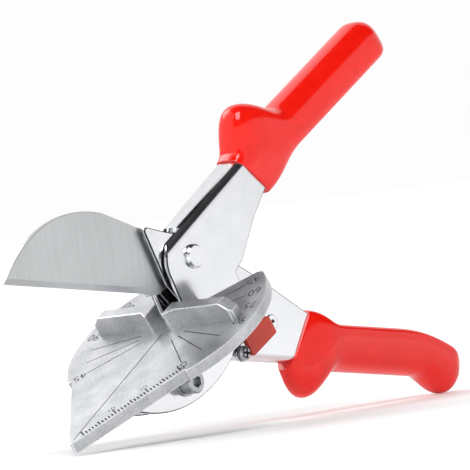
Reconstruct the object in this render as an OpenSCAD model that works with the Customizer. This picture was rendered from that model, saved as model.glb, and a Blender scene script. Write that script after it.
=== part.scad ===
// Mitre shears: a chromed handle that carries a protractor anvil, and a chromed handle that carries a blade.
// Both levers are folded U-channels. The blade lever nests inside the anvil lever and turns on one rivet.
// Each lever is drawn in its own plane: x runs forward along the cutting line, y runs up, z runs away
// from the near side, and the pivot is at the origin.

/* [Stance] */
// Angle between the blade and the anvil, with the handles open
open_angle = 39.5; // [25:0.5:42]

/* [Anvil lever] */
// Thickness of the folded sheet
upper_sheet = 1.8; // [1.4:0.1:2.4]
// Height of the spine's outer face above the pivot
upper_spine_h = 11.7; // [10:0.1:14]
// Outer radius of the fold along the spine
upper_fold_r = 4; // [2.6:0.1:4.4]
// Distance from the pivot to the end of the channel in the handle
upper_reach = 128; // [110:1:140]
// Depth of the channel inside the grip
upper_tail_h = 12; // [9:0.5:13]
// Distance from the pivot back to the front end of the spine
spine_setback = 2.5; // [1:0.5:5]
// Radius of the belly under the anvil
belly_r = 56; // [50:1:64]
// Depth of the belly's lowest point below the pivot
belly_depth = 41.8; // [38:0.2:45]
// Place of the belly's lowest point in front of the pivot
belly_x = 21; // [17:1:25]

/* [Anvil] */
// Depth of the anvil's working face below the pivot
face_depth = 14.5; // [13.5:0.5:17]
// Distance from the pivot forward to the protractor's centre
centre_x = 24; // [22:0.5:27]
// Distance from the protractor's centre to the anvil's tip
tip_reach = 70; // [60:1:78]
// Radius of the protractor's rim
rim_r = 41; // [36:0.5:46]
// How far the ruler edges lie inside the rim
ruler_inset = 2; // [1:0.25:3]
// Thickness of the anvil plate
plate_t = 4.5; // [3.5:0.25:6]
// Height of the fence
fence_h = 8; // [6:0.5:12]
// Thickness of the fence
fence_t = 5; // [3:0.5:6]
// Distance from the blade line to a fence's outer end
fence_reach = 34; // [26:1:36]
// Width of the gap between the fences
fence_gap = 8; // [6:0.5:10]
// Margin of the wings behind their 45 degree lines
wing_margin = 9.5; // [7:0.5:12]
// Width of an engraved line
mark_w = 0.4; // [0.2:0.05:0.6]
// Depth of an engraved line
mark_depth = 0.25; // [0.15:0.05:0.4]
// Distance between ruler marks along each straight edge
ruler_step = 1.4; // [1:0.1:2]
// Number of those marks
ruler_marks = 31; // [16:5:36]

/* [Anvil screw] */
// Thread diameter of the cap screw through the belly
anvil_screw_d = 5; // [4:0.5:6]
// Diameter of its head
anvil_head_d = 8.5; // [7:0.5:10]
// Height of its head
anvil_head_h = 5; // [4:0.5:6]
// Distance of the screw in front of the pivot
anvil_screw_x = 35; // [32:0.5:38]
// Height of the screw above the belly's lowest point
anvil_screw_rise = 10.3; // [9:0.1:13]

/* [Blade] */
// Thickness of the blade
blade_t = 2; // [1.6:0.1:2.6]
// Distance from the pivot to the blade's tip
blade_reach = 94; // [84:1:98]
// Height of the blade from edge to back
blade_h = 28.5; // [25:0.5:30]
// Radius of the blade's round back
blade_back_r = 51.5; // [46:0.5:56]
// Width of the ground bevel along the edge
bevel_w = 2.2; // [1:0.1:3]
// Thickness left at the cutting edge
edge_t = 0.3; // [0.2:0.05:0.6]
// Diameter of the rivets through the blade
blade_rivet_d = 3; // [2.5:0.25:3.5]
// Distance of those rivets from the pivot
blade_rivet_r = 8.2; // [7.5:0.1:8.6]

/* [Blade lever] */
// Thickness of the folded sheet
lower_sheet = 1.6; // [1.2:0.1:2]
// Depth of the spine's outer face below the pivot
lower_spine_h = 36.8; // [35:0.1:40]
// Outer radius of the fold along the spine
lower_fold_r = 3; // [2.4:0.1:3.6]
// Distance from the pivot to the end of the channel in the handle
lower_reach = 141; // [120:1:150]
// Depth of the channel inside the grip
lower_tail_h = 11; // [8:0.5:13]
// Distance from the pivot back to the front end of the spine
lower_spine_start = 18; // [16:0.5:20]
// Thickness of each packing plate beside the blade
packing_t = 1.2; // [0.8:0.1:1.6]

/* [Pivot] */
// Diameter of the rivet's shank
pivot_d = 6; // [5:0.25:7]
// Diameter of the rivet's heads
pivot_head_d = 9; // [8:0.25:10.5]
// Height of the rivet's heads
pivot_head_h = 1.6; // [1:0.1:2.4]
// Radial clearance of the rivet in the blade lever
pivot_clearance = 0.05; // [0.02:0.01:0.1]
// Thickness of the thin washers between the levers
washer_t = 0.4; // [0.3:0.05:0.8]
// Side clearance at each washer
side_clearance = 0.05; // [0.03:0.01:0.1]
// Diameter of the washers
washer_d = 12; // [10:0.5:14]

/* [Grips] */
// Thickness of the coating over a spine
grip_wall = 2.3; // [2:0.1:3.4]
// Thickness of the coating beside a cheek
grip_side = 2.4; // [2:0.1:3.2]
// Depth of the upper grip from its outer to its inner side
upper_grip_depth = 16.4; // [15:0.2:18]
// Depth of the lower grip from its outer to its inner side
lower_grip_depth = 17.6; // [16:0.2:19]
// Height of the finger stop on the outer side of the upper grip
upper_stop_h = 12.5; // [8:0.5:14]
// Height of the finger stop on the outer side of the lower grip
lower_stop_h = 11; // [8:0.5:14]
// Height of the bulb under the lower grip's end
bulb_h = 6; // [3:0.5:9]
// Length of the upper grip past the end of its channel
upper_grip_end = 14; // [10:0.5:16]
// Length of the lower grip past the end of its channel
lower_grip_end = 9; // [8:0.5:11]

/* [Spring] */
// Diameter of the spring's wire
spring_wire_d = 1; // [0.8:0.05:1.2]
// Mean diameter of the coil
spring_coil_d = 8; // [7:0.25:9]
// Distance between turns of the coil
spring_pitch = 1.5; // [1.4:0.05:1.7]
// Diameter of the pin that carries the coil
spring_pin_d = 5; // [4:0.25:5.5]

/* [Latch] */
// Length of the latch from its screw to its round end
latch_reach = 23.5; // [20:0.5:25]
// Width of the latch
latch_w = 5.4; // [4:0.2:6]
// Thickness of the latch's sheet
latch_t = 1.4; // [1:0.1:2]
// Thickness of the soft sleeve on the latch
sleeve_t = 1.1; // [0.6:0.1:1.4]
// Diameter of the latch screw
latch_screw_d = 3; // [2.5:0.25:3.5]
// Diameter of the latch screw's head
latch_head_d = 5.6; // [5:0.2:6.4]
// Angle of the parked latch above the blade's rearward line
latch_park = 36; // [30:1:45]

/* [Hidden] */
$fn = 72;
arc_step = 7;
overcut = 1;

// Widths across the levers, from the blade outwards
lower_inner = blade_t + 2 * packing_t;
lower_outer = lower_inner + 2 * lower_sheet;
upper_inner = lower_outer + 2 * (washer_t + 2 * side_clearance);
upper_outer = upper_inner + 2 * upper_sheet;
near_cheek = upper_outer / 2;
seat_clearance = 0.1;
face_clearance = 0.3;

// Levels in the anvil lever's plane
face_y = -face_depth;
under_y = face_y - plate_t;
belly_y = belly_r - belly_depth;
anvil_screw_depth = belly_depth - anvil_screw_rise;
tip_x = centre_x + tip_reach;
cheek_front = centre_x - fence_t - 1.2;

// The open tool stands on the anvil's tip and on the bulb of the lower grip
upper_outside = upper_spine_h + grip_wall;
lower_outside = lower_spine_h + grip_wall;
bulb_inset = 8;
bulb_x = -lower_reach - lower_grip_end + bulb_inset;
bulb_y = -lower_outside - bulb_h;
bulb_in_anvil = [
    bulb_x * cos(open_angle) - bulb_y * sin(open_angle),
    bulb_x * sin(open_angle) + bulb_y * cos(open_angle)
];
stand_tilt = atan2(under_y - bulb_in_anvil.y, tip_x - bulb_in_anvil.x);
pivot_z = tip_x * sin(stand_tilt) - under_y * cos(stand_tilt);
blade_tilt = stand_tilt - open_angle;
blade_edge_y = face_y + face_clearance;
front_x = -blade_reach * cos(blade_tilt) - blade_edge_y * sin(blade_tilt);
end_rise = 4.3;
rear_x = (lower_reach + lower_grip_end) * cos(blade_tilt) + (lower_outside - end_rise) * sin(blade_tilt);
pivot_x = -(front_x + rear_x) / 2;

// Places of the smaller pieces in the blade lever's plane
latch_inset = 2.2;
latch_x = -24.5;
latch_y = -lower_spine_h + latch_inset;
latch_bush_d = latch_screw_d + 1;
latch_head_h = 1.9;
latch_nut_h = 2.4;
latch_nut_across = latch_screw_d * 1.83;
latch_end_r = latch_w * 0.6;
latch_gap = 0.35;
latch_swing = 30;
latch_clear_r = max(latch_end_r, latch_nut_across / 2 / cos(30), latch_w / 2 + sleeve_t) + latch_gap;
latch_open = [
    latch_x * cos(open_angle) - latch_y * sin(open_angle),
    latch_x * sin(open_angle) + latch_y * cos(open_angle)
];
spring_x = -17;
spring_y = -13;

// Outlines: each point is [x, y, corner radius], and a corner becomes an arc of that radius

function unit(v) = v / norm(v);

function corner_arc(p, q, s, r) =
    let (
        u = unit(p - q),
        v = unit(s - q),
        half = acos(max(-1, min(1, u * v))) / 2,
        centre = q + unit(u + v) * r / sin(half),
        from = q + u * r / tan(half) - centre,
        to = q + v * r / tan(half) - centre,
        start = atan2(from.y, from.x),
        turn = ((atan2(to.y, to.x) - start + 540) % 360) - 180,
        steps = max(2, ceil(abs(turn) / arc_step))
    )
    [for (i = [0:steps]) centre + r * [cos(start + turn * i / steps), sin(start + turn * i / steps)]];

function rounded(points) =
    let (n = len(points), flat = [for (p = points) [p.x, p.y]])
    [
        for (i = [0:n - 1])
            each points[i].z > 0
                ? corner_arc(flat[(i + n - 1) % n], flat[i], flat[(i + 1) % n], points[i].z)
                : [flat[i]]
    ];

function arc(centre, r, from, to) =
    let (steps = max(2, ceil(abs(to - from) / arc_step * 2)))
    [
        for (i = [0:steps])
            let (a = from + (to - from) * i / steps)
            centre + r * [cos(a), sin(a)]
    ];

function sharp(points) = [for (p = points) [p.x, p.y, 0]];

// Places

module on_anvil_lever() {
    translate([pivot_x, 0, pivot_z])
        rotate([0, -stand_tilt, 0])
            rotate([90, 0, 180])
                children();
}

module on_blade_lever() {
    translate([pivot_x, 0, pivot_z])
        rotate([0, -blade_tilt, 0])
            rotate([90, 0, 180])
                children();
}

module slab(thickness, middle = 0) {
    translate([0, 0, middle - thickness / 2])
        linear_extrude(thickness)
            children();
}

module cross_bore(x, y, d) {
    translate([x, y, -near_cheek - overcut])
        cylinder(d = d, h = upper_outer + 2 * overcut);
}

// Inside radii of the folds: the anvil lever's is tight, so that the blade lever turns clear of it
upper_inside_r = 1.3;
lower_inside_r = lower_fold_r - lower_sheet + 0.2;

// A bar along x with two round corners: its top is at y = 0
module round_bar(length, width, r, depth) {
    w = width / 2;
    rotate([0, 90, 0])
        linear_extrude(length)
            polygon(concat(
                [[-w, -depth], [w, -depth]],
                corner_arc([w, -depth], [w, 0], [-w, 0], r),
                corner_arc([w, 0], [-w, 0], [-w, -depth], r)
            ));
}

// Anvil lever

// The belly's rear edge runs beside the latch when that is swung forward, and this is how far it reaches
rear_edge = 19;
// How much deeper than the grip's own droop the channel's end lies in the grip
tail_sink = 1;
nose_x = 13.2;

module upper_outline() {
    tail_y = upper_spine_h - upper_tail_h;
    tail_drop = upper_outer_droop * (upper_reach - upper_mouth) / upper_length + tail_sink;
    belly_front = -asin((belly_y - under_y + 5) / belly_r);
    belly_centre = [belly_x, belly_y];
    latch_turn = 180 - latch_park - latch_swing + open_angle;
    latch_way = [cos(latch_turn), sin(latch_turn)];
    latch_side = latch_open + latch_clear_r * [latch_way.y, -latch_way.x];
    from_centre = latch_side - belly_centre;
    along = from_centre * latch_way;
    half_chord = sqrt(max(0, along * along + belly_r * belly_r - from_centre * from_centre));
    rear_foot = latch_side - (along + half_chord) * latch_way;
    rear_top = latch_side + rear_edge * latch_way;
    belly_rear = atan2(rear_foot.y - belly_y, rear_foot.x - belly_x);
    polygon(rounded(concat(
        [
            [-64, tail_y, 20],
            [-upper_reach, tail_y, 1],
            [-upper_reach, upper_spine_h - tail_drop, 1],
            [-upper_mouth, upper_spine_h, 0],
            [nose_x, upper_spine_h, upper_spine_h - 0.2],
            [cheek_front - 1.5, -8, 8],
            [cheek_front, under_y, 1],
            [belly_x + belly_r * cos(belly_front) - 3, under_y, 1]
        ],
        sharp(arc(belly_centre, belly_r, belly_front, belly_rear)),
        [
            [rear_top.x, rear_top.y, 8],
            [-14, -23.3, 3],
            [-14.8, -18, 1],
            [-20.8, -17, 2],
            [-35.5, -9.6, 30],
            [-52, -3.6, 12]
        ]
    )));
}

// The channel's outside, which also shapes the hollow of its grip
module upper_core() {
    intersection() {
        slab(upper_outer)
            upper_outline();
        translate([-upper_reach, upper_spine_h, 0])
            round_bar(upper_reach + tip_x, upper_outer, upper_fold_r, upper_spine_h + belly_depth + overcut);
    }
}

module upper_channel() {
    web_w = upper_inner;
    depth = upper_spine_h + belly_depth + overcut;
    color("gainsboro")
        on_anvil_lever()
            difference() {
                upper_core();
                translate([-upper_reach - overcut, upper_spine_h - upper_sheet, 0])
                    round_bar(upper_reach + tip_x, upper_inner, upper_inside_r, depth);
                translate([-spine_setback, -face_depth, -web_w / 2])
                    cube([tip_x, upper_spine_h + face_depth + overcut, web_w]);
                cross_bore(0, 0, pivot_d);
                cross_bore(anvil_screw_x, -anvil_screw_depth, anvil_screw_d);
            }
}

// Grip: a closed skin swept along the handle, with u running back from its mouth and v running outwards

function bump(u, middle, length, power = 2) =
    let (t = (u - middle) / length)
    abs(t) < 0.5 ? pow(cos(180 * t), power) : 0;

function end_taper(u, length, r) =
    u > length - r ? sqrt(max(0, 1 - pow((u - length + r) / r, 2))) : 1;

// A grip's section has flat sides by the fingers and a round back in the palm, and they meet at the seam
grip_seam = -0.4;
grip_flat = 0.42;
grip_sides = 28;
grip_stations = 44;
grip_end_r = 8;
stop_power = 1.15;
bulb_length = 32;
// At its mouth the skin is thin and square, and follows the channel
mouth_wall = 0.8;
mouth_length = 18;
mouth_square = 0.5;
neck_length = 28;
slant_length = 50;
end_turn_length = 36;

function powered(value, power) = sign(value) * pow(abs(value), power);

function section_point(k, back) =
    let (a = 360 * k / grip_sides, power = sin(a) < 0 ? grip_flat : back)
    [
        powered(cos(a), power),
        grip_seam + powered(sin(a), power) * (sin(a) < 0 ? 1 + grip_seam : 1 - grip_seam)
    ];

upper_mouth = 44;
upper_outer_droop = 4.5;
upper_inner_droop = 4.5;
upper_stop_x = 16.5;
upper_stop_length = 28;
upper_flare = 5.5;
upper_flare_length = 64;
upper_slant = 5.5;
upper_back = 0.72;
lower_mouth = 55;
lower_stop_x = 10;
lower_stop_length = 23;
lower_flare = 5;
lower_flare_length = 46;
lower_slant = 9;
lower_end_turn = 8.5;
lower_back = 0.85;
// Depth, outer droop, inner droop, height of the finger stop, its place, its length, bulb, flare, its length,
// slant of the mouth, turn of the end, roundness of the back, width of the mouth
upper_shape = [
    upper_grip_depth, upper_outer_droop, upper_inner_droop, upper_stop_h, upper_stop_x, upper_stop_length,
    0, upper_flare, upper_flare_length, upper_slant, 0, upper_back, upper_outer + 2 * mouth_wall
];
lower_shape = [
    lower_grip_depth, 0, 0, lower_stop_h, lower_stop_x, lower_stop_length,
    bulb_h, lower_flare, lower_flare_length, lower_slant, lower_end_turn, lower_back,
    lower_outer + 2 * mouth_wall
];

function grip_ring(s, length, outside, width, shape) =
    let (
        u = length * (1 - pow(1 - s, 1.5)),
        taper = end_taper(u, length, grip_end_r),
        depth = shape[0],
        outer = outside - shape[1] * u / length + shape[3] * bump(u, shape[4], shape[5], stop_power)
            + shape[6] * bump(u, length - bulb_inset, bulb_length)
            - (grip_wall - mouth_wall) * bump(u, 0, neck_length),
        turn = shape[10] * pow(max(0, 1 - (length - u) / end_turn_length), 2),
        inner = outside - depth - shape[2] * u / length - shape[7] * bump(u, 0, shape[8]) + turn,
        middle = (outer + inner) / 2,
        half = (outer - inner) / 2 * taper,
        slant = shape[9] * pow(max(0, 1 - u / slant_length), 2),
        near_mouth = pow(max(0, 1 - u / mouth_length), 2),
        w = (width + (shape[12] - width) * near_mouth) * taper,
        back = shape[11] + (mouth_square - shape[11]) * near_mouth
    )
    [
        for (k = [0:grip_sides - 1])
            let (p = section_point(k, back))
            [-u + slant * (p.y * half / depth - 0.5), middle + p.y * half, p.x * w / 2]
    ];

module grip_skin(length, outside, width, shape) {
    rings = [for (i = [0:grip_stations - 1]) grip_ring(i / grip_stations, length, outside, width, shape)];
    n = grip_sides;
    last = n * (grip_stations - 1);
    tip = n * grip_stations;
    end = rings[grip_stations - 1];
    end_y = (end[n / 4].y + end[n * 3 / 4].y) / 2;
    points = concat([for (r = rings) each r], [[-length, end_y, 0]]);
    faces = concat(
        [[for (k = [0:n - 1]) k]],
        [
            for (i = [0:grip_stations - 2], k = [0:n - 1])
                each [
                    [i * n + k, (i + 1) * n + k, (i + 1) * n + (k + 1) % n],
                    [i * n + k, (i + 1) * n + (k + 1) % n, i * n + (k + 1) % n]
                ]
        ],
        [for (k = [0:n - 1]) [last + k, tip, last + (k + 1) % n]]
    );
    polyhedron(points, faces);
}

grip_w = upper_outer + 2 * grip_side;
upper_length = upper_reach + upper_grip_end - upper_mouth;
lower_length = lower_reach + lower_grip_end - lower_mouth;

module upper_grip() {
    color("red")
        on_anvil_lever()
            difference() {
                translate([-upper_mouth, 0, 0])
                    grip_skin(upper_length, upper_outside, grip_w, upper_shape);
                upper_core();
            }
}

// Anvil

module plate_outline() {
    edge = rim_r - ruler_inset;
    half_tip = asin(edge / tip_reach);
    edge_end = edge / cos(45 - half_tip);
    step = edge_end * [cos(45), sin(45)];
    wing = (-wing_margin + sqrt(2 * rim_r * rim_r - wing_margin * wing_margin)) / 2;
    wing_corner = [-wing_margin - wing, wing];
    slot = near_cheek + seat_clearance;
    slot_front = -fence_t - 1;
    back_angle = atan2(wing_corner.y, wing_corner.x);
    side = concat(
        [[tip_reach - 1.5, 0.6], step],
        arc([0, 0], rim_r, 45, back_angle - 4),
        [
            wing_corner + [1.4, -0.2] * 1.4,
            [-wing_margin - slot, slot],
            [slot_front, slot]
        ]
    );
    mirrored = [for (i = [len(side) - 1:-1:0]) [side[i].x, -side[i].y]];
    polygon(concat(side, mirrored));
}

module fence(side) {
    inner = fence_gap / 2;
    nose = 2.5;
    chamfer = 4;
    rise = fence_h;
    intersection() {
        translate([0, 0, -0.01])
            linear_extrude(rise + 0.01)
                polygon([
                    [-fence_t, side * inner], [-fence_t, side * fence_reach], [-1, side * fence_reach],
                    [0, side * (fence_reach - 1)], [0, side * (inner + 4)], [nose, side * (inner + 1)],
                    [nose, side * inner]
                ]);
        rotate([90, 0, -90])
            linear_extrude(tip_reach, center = true)
                polygon([
                    [side * (inner - overcut), -overcut], [side * (fence_reach + overcut), -overcut],
                    [side * (fence_reach + overcut), rise - chamfer - overcut],
                    [side * (fence_reach - chamfer), rise], [side * (inner - overcut), rise]
                ] * [[-1, 0], [0, 1]]);
    }
}

module groove(angle, from, to) {
    rotate([0, 0, angle])
        translate([from, -mark_w / 2, -mark_depth])
            cube([to - from, mark_w, mark_depth + overcut]);
}

module graduations() {
    edge = rim_r - ruler_inset;
    half_tip = asin(edge / tip_reach);
    ruler_start = 7;
    ruler_mark_w = ruler_step * 0.42;
    ruler_edge_gap = 0.8;
    for (side = [-1, 1], a = [45:15:135])
        if (a != 90)
            groove(side * a, 11, rim_r - 8);
    groove(0, 3, tip_reach - 4);
    for (i = [0:ruler_marks - 1]) {
        long = i % 10 == 0 ? 4.2 : i % 5 == 0 ? 3.2 : 2.2;
        translate([tip_reach, 0, 0])
            rotate([0, 0, 180 - half_tip])
                translate([ruler_start + i * ruler_step, ruler_edge_gap, -mark_depth])
                    cube([ruler_mark_w, long, mark_depth + overcut]);
    }
}

module on_anvil_face() {
    on_anvil_lever()
        translate([centre_x, face_y, 0])
            rotate([-90, 0, 0])
                children();
}

module anvil() {
    keel_w = upper_inner - 2 * seat_clearance;
    keel_front = 26;
    keel_depth = belly_depth - face_depth - plate_t - 3.5;
    color("silver")
        union() {
            on_anvil_face()
                difference() {
                    union() {
                        translate([0, 0, -plate_t])
                            linear_extrude(plate_t)
                                plate_outline();
                        fence(1);
                        fence(-1);
                    }
                    graduations();
                }
            on_anvil_lever()
                difference() {
                    slab(keel_w)
                        polygon(rounded([
                            [centre_x + 1, under_y + 0.5, 0],
                            [centre_x + keel_front, under_y + 0.5, 0],
                            [centre_x + keel_front - 4, under_y - keel_depth + 4, 5],
                            [centre_x + 2, under_y - keel_depth, 4]
                        ]));
                    cross_bore(anvil_screw_x, -anvil_screw_depth, anvil_screw_d);
                }
        }
}

// Anvil screw, washers and nut

anvil_washer_t = 1;

module hex_prism(across, h) {
    cylinder(d = across / cos(30), h = h, $fn = 6);
}

module anvil_screw() {
    grip = upper_outer + 2 * anvil_washer_t;
    nut_h = anvil_screw_d * 0.8;
    socket = anvil_screw_d * 0.8;
    edge = 0.5;
    color("dimgray")
        on_anvil_lever()
            translate([anvil_screw_x, -anvil_screw_depth, -grip / 2])
                difference() {
                    rotate_extrude()
                        polygon([
                            [0, -anvil_head_h], [anvil_head_d / 2 - edge, -anvil_head_h],
                            [anvil_head_d / 2, edge - anvil_head_h], [anvil_head_d / 2, 0],
                            [anvil_screw_d / 2, 0], [anvil_screw_d / 2, grip + nut_h], [0, grip + nut_h]
                        ]);
                    translate([0, 0, -anvil_head_h - overcut])
                        hex_prism(socket, anvil_head_h * 0.55 + overcut);
                }
}

module ring(outer_d, inner_d, h) {
    difference() {
        cylinder(d = outer_d, h = h);
        translate([0, 0, -overcut])
            cylinder(d = inner_d, h = h + 2 * overcut);
    }
}

module anvil_washers() {
    color("silver")
        on_anvil_lever()
            for (z = [-near_cheek - anvil_washer_t, near_cheek])
                translate([anvil_screw_x, -anvil_screw_depth, z])
                    ring(anvil_screw_d * 2, anvil_screw_d, anvil_washer_t);
}

module anvil_nut() {
    across = anvil_screw_d * 1.6;
    h = anvil_screw_d * 0.8;
    color("silver")
        on_anvil_lever()
            translate([anvil_screw_x, -anvil_screw_depth, near_cheek + anvil_washer_t])
                difference() {
                    hex_prism(across, h);
                    translate([0, 0, -overcut])
                        cylinder(d = anvil_screw_d, h = h + 2 * overcut);
                }
}

// Pivot

module pivot_rivet() {
    crown = pivot_head_h * 0.45;
    head_r = pivot_head_d / 2;
    shank_r = pivot_d / 2;
    half = near_cheek;
    top = half + pivot_head_h;
    color("white")
        on_anvil_lever()
            rotate_extrude()
                polygon([
                    [0, -top], [head_r - crown, -top], [head_r, crown - top], [head_r, -half],
                    [shank_r, -half], [shank_r, half],
                    [head_r, half], [head_r, top - crown], [head_r - crown, top], [0, top]
                ]);
}

module pivot_washers() {
    color("goldenrod")
        on_anvil_lever()
            for (side = [-1, 1])
                translate([0, 0, side * (lower_outer / 2 + side_clearance + washer_t / 2) - washer_t / 2])
                    ring(washer_d, pivot_d + 2 * pivot_clearance, washer_t);
}

// Blade lever

head_r = 8.8;
slant_top = [24.5, 10.1];
slant_foot = [12, -10.8];
// How far the channel's end turns down with the grip
lower_tail_turn = 3;
lower_depth = lower_spine_h + head_r + 4;

module lower_outline() {
    tail_y = -lower_spine_h + lower_tail_h;
    polygon(rounded([
        [slant_top.x, slant_top.y, 1.5],
        [slant_foot.x, slant_foot.y, 3],
        [4, -17, 6],
        [-9, -23, 10],
        [-lower_spine_start, -lower_spine_h + 4, 3],
        [-lower_spine_start, -lower_spine_h, 0],
        [-lower_reach, -lower_spine_h, 1],
        [-lower_reach, tail_y - lower_tail_turn, 1],
        [-82, tail_y, 14],
        [-36, -5.2, 14],
        [-head_r - 1, 5, 6],
        [-3, head_r, 5],
        [10, head_r - 0.4, 30]
    ]));
}

// The channel's outside, which also shapes the hollow of its grip
module lower_core() {
    intersection() {
        slab(lower_outer)
            lower_outline();
        translate([slant_top.x + overcut, -lower_spine_h, 0])
            rotate([0, 0, 180])
                round_bar(lower_reach + slant_top.x + 2 * overcut, lower_outer, lower_fold_r, lower_depth);
    }
}

module lower_channel() {
    web_w = lower_inner;
    color("gainsboro")
        on_blade_lever()
            difference() {
                lower_core();
                translate([slant_top.x + 2 * overcut, lower_sheet - lower_spine_h, 0])
                    rotate([0, 0, 180])
                        round_bar(lower_reach + slant_top.x + 4 * overcut, lower_inner,
                                  lower_inside_r, lower_depth);
                translate([-lower_spine_start, -lower_spine_h - overcut, -web_w / 2])
                    cube([lower_spine_start + slant_top.x, lower_spine_h, web_w]);
                cross_bore(0, 0, pivot_d + 2 * pivot_clearance);
                cross_bore(spring_x, spring_y, spring_pin_d - 2);
                cross_bore(latch_x, latch_y, latch_screw_d);
                rivet_places()
                    cylinder(d = blade_rivet_d, h = upper_outer, center = true);
            }
}

module lower_grip() {
    color("red")
        on_blade_lever()
            difference() {
                translate([-lower_mouth, 0, 0])
                    mirror([0, 1, 0])
                        grip_skin(lower_length, lower_outside, grip_w, lower_shape);
                lower_core();
            }
}

// Blade, its packing plates and rivets

module rivet_places() {
    for (a = [8, -52])
        translate([blade_rivet_r * cos(a), blade_rivet_r * sin(a), 0])
            children();
}

module blade_outline() {
    back_y = blade_edge_y + blade_h;
    arc_y = back_y - blade_back_r;
    arc_x = blade_reach - sqrt(blade_back_r * blade_back_r - pow(blade_edge_y - arc_y, 2));
    from = atan2(blade_edge_y - arc_y, blade_reach - arc_x);
    polygon(concat(
        arc([arc_x, arc_y], blade_back_r, from, 96),
        [
            slant_top - [0, 0.2],
            [10, head_r - 1],
            [0, head_r - 0.6],
            [-6, 6],
            [-8, 0],
            [-6, -6],
            [2, -9],
            [10, -12],
            [13, blade_edge_y]
        ]
    ));
}

module blade() {
    slope = atan2((blade_t - edge_t) / 2, bevel_w);
    color("lightgray")
        on_blade_lever()
            difference() {
                slab(blade_t)
                    blade_outline();
                for (side = [-1, 1])
                    translate([0, blade_edge_y, side * edge_t / 2])
                        rotate([side * slope, 0, 0])
                            translate([-overcut, -bevel_w, side > 0 ? 0 : -blade_t])
                                cube([blade_reach + 2 * overcut, 3 * bevel_w, blade_t]);
                cross_bore(0, 0, pivot_d + 2 * pivot_clearance);
                rivet_places()
                    cylinder(d = blade_rivet_d, h = upper_outer, center = true);
            }
}

module packing_plate(side) {
    color("darkgray")
        on_blade_lever()
            difference() {
                slab(packing_t, side * (blade_t + packing_t) / 2)
                    polygon(rounded([
                        [slant_top.x - 3, slant_top.y - 2.6, 1],
                        [slant_foot.x - 1, slant_foot.y + 2, 2],
                        [0, -9, 5],
                        [-8, -5, 5],
                        [-8, 6, 5],
                        [2, head_r - 1.2, 8]
                    ]));
                cross_bore(0, 0, pivot_d + 2 * pivot_clearance);
                rivet_places()
                    cylinder(d = blade_rivet_d, h = upper_outer, center = true);
            }
}

module near_packing_plate() {
    packing_plate(-1);
}

module far_packing_plate() {
    packing_plate(1);
}

module blade_rivets() {
    color("silver")
        on_blade_lever()
            rivet_places()
                cylinder(d = blade_rivet_d, h = lower_outer, center = true);
}

// Opening spring on its pin

module spring_pin() {
    neck = spring_pin_d - 2;
    color("silver")
        on_blade_lever()
            translate([spring_x, spring_y, 0]) {
                cylinder(d = neck, h = lower_outer, center = true);
                cylinder(d = spring_pin_d, h = lower_inner, center = true);
            }
}

spring_turns = 2;
rings_per_turn = 12;
wire_sides = 6;
leg_gap = 0.2;
leg_lift = 125;
leg_up_angle = leg_lift - open_angle;
spring_in_anvil_y = spring_x * sin(open_angle) + spring_y * cos(open_angle);
leg_up_from = spring_in_anvil_y - spring_coil_d / 2 * cos(leg_lift);
leg_up_to = upper_spine_h - upper_sheet - spring_wire_d / 2 - leg_gap;
leg_up_length = (leg_up_to - leg_up_from) / sin(leg_lift);
leg_down_angle = 222;
leg_down_from = spring_y + spring_coil_d / 2 * cos(leg_down_angle);
leg_down_to = -lower_spine_h + lower_sheet + spring_wire_d / 2 + leg_gap;
leg_down_length = (leg_down_to - leg_down_from) / sin(leg_down_angle);

// The wire's centre line: a leg up to the upper spine, the turns, and a leg down to the lower spine
function spring_route() =
    let (
        r = spring_coil_d / 2,
        start = leg_down_angle + 90,
        total = spring_turns * 360 + ((leg_up_angle - 90 - start) % 360 + 360) % 360,
        steps = ceil(total / 360 * rings_per_turn),
        coil = [
            for (i = [0:steps])
                let (a = start + total * i / steps)
                [r * cos(a), r * sin(a), spring_pitch * total / 360 * (i / steps - 0.5)]
        ],
        foot = coil[0] + leg_down_length * [cos(leg_down_angle), sin(leg_down_angle), 0],
        top = coil[steps] + leg_up_length * [cos(leg_up_angle), sin(leg_up_angle), 0]
    )
    concat([foot], coil, [top]);

function wire_ring(route, i) =
    let (
        before = route[max(0, i - 1)],
        after = route[min(len(route) - 1, i + 1)],
        along = unit(after - before),
        side = unit(cross(along, [0, 0, 1])),
        up = cross(side, along)
    )
    [
        for (k = [0:wire_sides - 1])
            route[i] + spring_wire_d / 2 * (cos(360 * k / wire_sides) * side + sin(360 * k / wire_sides) * up)
    ];

module opening_spring() {
    route = spring_route();
    count = len(route);
    n = wire_sides;
    points = [for (i = [0:count - 1]) each wire_ring(route, i)];
    faces = concat(
        [[for (k = [0:n - 1]) k]],
        [
            for (i = [0:count - 2], k = [0:n - 1])
                each [
                    [i * n + k, (i + 1) * n + k, (i + 1) * n + (k + 1) % n],
                    [i * n + k, (i + 1) * n + (k + 1) % n, i * n + (k + 1) % n]
                ]
        ],
        [[for (k = [n - 1:-1:0]) (count - 1) * n + k]]
    );
    echo(spring_gap_between_turns = spring_pitch - spring_wire_d);
    color("dimgray")
        on_blade_lever()
            translate([spring_x, spring_y, 0])
                polyhedron(points, faces);
}

// Latch

latch_z = -(lower_outer / 2 + latch_gap + sleeve_t);

// Half of the latch's width, at a distance from its screw
function latch_half(x) =
    latch_end_r + (latch_w / 2 - latch_end_r) * (x + latch_end_r) / (latch_reach + latch_end_r);

module on_latch() {
    on_blade_lever()
        translate([latch_x, latch_y, latch_z])
            rotate([0, 0, 180 - latch_park])
                children();
}

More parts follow.
